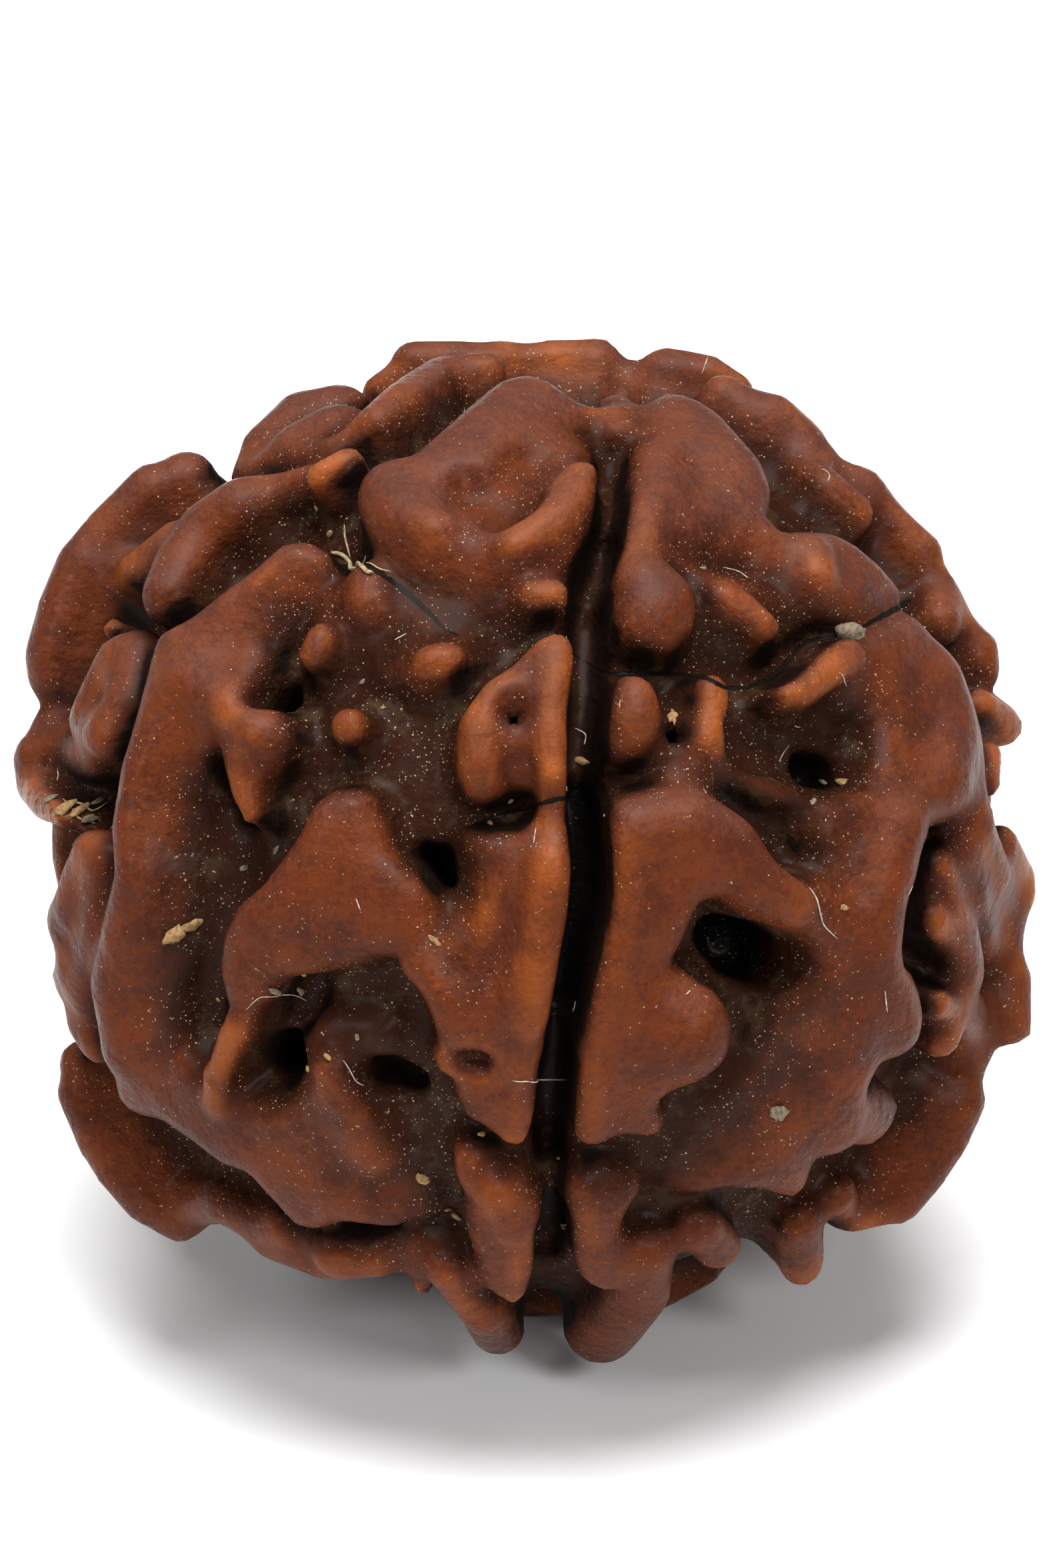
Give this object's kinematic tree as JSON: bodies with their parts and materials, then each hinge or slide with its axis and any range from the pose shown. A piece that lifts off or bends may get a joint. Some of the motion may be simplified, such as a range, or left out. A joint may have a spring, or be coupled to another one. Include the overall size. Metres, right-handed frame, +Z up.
{
  "type": "rudraksha seed",
  "caption": "Round woody fruit stone with deep pole-to-pole furrows and coarse, knobbly ridges, resting on a small flat spot.",
  "frame": {"origin": "on the surface the stone rests on, under the middle of its box", "axes": "+Z up, +X to the right and +Y away as the open front furrow is looked at"},
  "size_m": [0.0254, 0.0246, 0.0249],
  "materials": {
    "rudraksha_seed": "oiled, softly glossy red-brown woody shell, orange-brown on its knobs and near black in its hollows, with pale dust"
  },
  "bodies": {
    "root": {"rudraksha_seed": "rudraksha_seed"}
  },
  "joints": []
}
